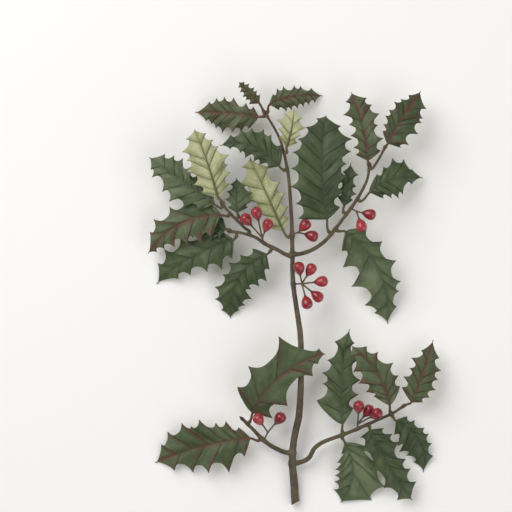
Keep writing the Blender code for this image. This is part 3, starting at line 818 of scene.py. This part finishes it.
def berry(name, fork):
    """An egg turned round the line from stalk to tip, with a star below and a dot on top.

    At an angle a from the stalk end, the height is -cos(a) half lengths, dimpled at both ends,
    and the radius is sin(a)^0.94 (1 - SLIMMER cos(a)) times a slight wave round the berry.
    """
    points, near = welded(name)
    poles = points[[i for i, others in enumerate(near) if len(others) == 8]]
    poles = poles[np.argsort(np.linalg.norm(poles - fork, axis=1))]
    axis, middle = unit(poles[1] - poles[0]), poles.mean(axis=0)
    half = np.linalg.norm(poles[1] - poles[0]) / 2
    wide = np.linalg.norm(np.cross(points - middle, axis), axis=1).max()
    side, up = sides_of(axis)
    turn = np.linspace(0, 2 * np.pi, BERRY_AROUND, endpoint=False)
    phase, girth = chance.uniform(0, 6), chance.uniform(0.93, 1.0)

    def spin(height, radius):
        """Rings at these heights along the axis, with radii that may change with the turn."""
        around = side * np.cos(turn)[:, None] + up * np.sin(turn)[:, None]
        return (middle + axis * height[..., None]) + around * radius[..., None]

    a = np.linspace(0, np.pi, BERRY_ROWS + 2)[1:-1, None]
    wave = 1 + 0.012 * np.sin(4 * turn + phase) + 0.01 * np.sin(3 * turn - 2 * phase)
    height = -np.cos(a) * half * (1 - 0.05 * np.exp(-(np.sin(a) / 0.22) ** 2)) + 0 * turn
    radius = wide * girth * np.sin(a) ** 0.94 * (1 - SLIMMER * np.cos(a)) * wave
    body = closed_skin(spin(height, radius), middle - axis * half * 0.93,
                       middle + axis * half * 0.93)
    s = np.array([0.3, 0.75, 1.0, 0.85, 0.3])[:, None]
    lobes = 1 + 0.32 * np.cos(4 * turn + phase)
    rise = np.array([-0.35, -0.2, 0.15, 0.3, 0.3])[:, None] + 0 * turn
    star = closed_skin(spin(-half * 0.985 + rise, STAR_RADIUS * s * lobes),
                       middle - axis * (half * 0.985 + 0.4), middle - axis * (half * 0.985 - 0.3),
                       len(body[0]))
    dots = 1 + 0.18 * np.cos(4 * turn + phase)
    rise = np.array([-0.1, 0.14, 0.3, 0.34, 0.26])[:, None] + 0 * turn
    s = np.array([0.8, 1.05, 0.9, 0.6, 0.2])[:, None]
    dot = closed_skin(spin(half * 0.93 + rise, DOT_RADIUS * s * dots),
                      middle + axis * (half * 0.93 - 0.15), middle + axis * (half * 0.93 + 0.22),
                      len(body[0]) + len(star[0]))
    shapes = (body, star, dot)
    which = np.repeat([0, 1, 1], [len(s[1]) for s in shapes])
    points = np.vstack([s[0] for s in shapes])
    marks = {"tone": np.full(len(points), chance.uniform(0, 1))}
    berries[name] = poles[0]
    return piece(name, points, [f for s in shapes for f in s[1]], [red, calyx_brown], which, marks)


def fork_of(lines):
    """The point x closest to all lines, each through p along d.

    It is the least-squares solution of (I - dd) (x - p) = 0.
    """
    squares = [np.eye(3) - np.outer(d, d) for _, d in lines]
    return np.linalg.solve(sum(squares), sum(m @ p for m, (p, _) in zip(squares, lines)))


clusters = sorted(name[:-len("_berry_stalk")] for name in nodes if name.endswith("_berry_stalk"))
forks = {}
for cluster in clusters:
    names = [n for n in sorted(nodes) if n.startswith(cluster + "_berry_") and n[-1].isdigit()]
    lines = []
    for n in names:
        points, near = welded(n)
        ends = points[[i for i, others in enumerate(near) if len(others) == 8]]
        lines.append((ends[0], unit(ends[1] - ends[0])))
    forks[cluster] = fork_of(lines)
    for n in names:
        berry(n, forks[cluster])
print("berries", len(berries), "forks", {k: v.round(1).tolist() for k, v in forks.items()})

# %% Join each cluster's stalks
STALK_SIDES = 12
KNOB = 0.95                  # mm, radius of the knob at the fork


def stalk(cluster):
    """Thin waisted tubes from the limb to the fork and from the fork to each berry."""
    name = cluster + "_berry_stalk"
    fork = forks[cluster]
    routes = [(wood_points_near(feet[name]), fork, 1.0, 0.75)]
    routes += [(fork, pole, 0.65, 0.8) for n, pole in berries.items()
               if n.startswith(cluster + "_berry")]
    points, faces = np.zeros((0, 3)), []
    for start, end, first, last in routes:
        t = np.linspace(0, 1, 16)
        path = start + (end - start) * t[:, None]
        path[:, 2] -= 0.5 * np.sin(np.pi * t)
        radii = np.interp(t, [0, 0.3, 0.75, 1], [first, 0.6, 0.56, last])
        ends = path[0] - (end - start) * 0.01, path[-1] + (end - start) * 0.01
        rows = tube_rows(path, radii[:, None], STALK_SIDES)
        more, more_faces = closed_skin(rows, *ends, len(points))
        points, faces = np.vstack([points, more]), faces + more_faces
    t = np.linspace(0, np.pi, 9)[1:-1, None]
    knob_turn = np.linspace(0, 2 * np.pi, STALK_SIDES, endpoint=False)
    ball = np.stack([np.sin(t) * np.cos(knob_turn), np.sin(t) * np.sin(knob_turn),
                     -np.cos(t) + 0 * knob_turn], axis=-1)
    knob, knob_faces = closed_skin(fork + KNOB * ball, fork - (0, 0, KNOB), fork + (0, 0, KNOB),
                                   len(points))
    return piece(name, np.vstack([points, knob]), faces + knob_faces, [stalk_brown])


for cluster in clusters:
    stalk(cluster)
print("stalks", len(clusters))

# %% [markdown]
# ## Table, light and camera
#
# The sprig lies on a plain pale table under large soft lights, and the camera looks straight down
# through a long lens, which keeps the outline true although the leaves lie at several heights.

# %% Stage the sprig
def stage_finish():
    f = Finish("table_pale")
    return f.done(f.mix(f.noise(0.4, 2) * 0.1, shade(250, 249, 247), shade(245, 244, 241)), 0.85)


bpy.ops.mesh.primitive_plane_add(size=6, location=(0, 0, low[2] - 0.0002))
table = bpy.context.object
table.name = "table"
table.data.materials.append(stage_finish())


def soft_light(name, place, width, power):
    """A square lamp aimed at the sprig."""
    lamp = bpy.data.lights.new(name, "AREA")
    lamp.size, lamp.energy = width, power
    obj = bpy.data.objects.new(name, lamp)
    obj.location = place
    obj.rotation_euler = (-obj.location).to_track_quat("-Z", "Y").to_euler()
    bpy.context.scene.collection.objects.link(obj)


soft_light("key", (-0.9, 0.9, 1.3), 1.5, 26)
soft_light("fill", (1.2, -0.8, 1.2), 1.9, 15)
world = bpy.data.worlds.new("studio")
world.use_nodes = True
world.node_tree.nodes["Background"].inputs["Color"].default_value = (1, 1, 1, 1)
world.node_tree.nodes["Background"].inputs["Strength"].default_value = 0.3
bpy.context.scene.world = world
bpy.context.scene.view_settings.view_transform = "Standard"

LENS = 250.0                 # mm
SENSOR = 36.0                # mm
FRAME_LENGTHS = 1.210        # the square view's side, in lengths of the sprig
VIEW_SHIFT = (-0.1295, 0.0890, 0)   # of the view from the sprig's middle, in shares of its size
view_side = FRAME_LENGTHS * size[1]
centre = (low + high) / 2
target = centre + VIEW_SHIFT * size
camera_data = bpy.data.cameras.new("camera")
camera_data.lens, camera_data.sensor_width = LENS, SENSOR
camera_data.clip_end = 20
camera = bpy.data.objects.new("camera", camera_data)
camera.location = (target[0], target[1], target[2] + view_side * LENS / SENSOR)
bpy.context.scene.collection.objects.link(camera)
bpy.context.scene.camera = camera
print("view side in mm", round(view_side / MM, 1))
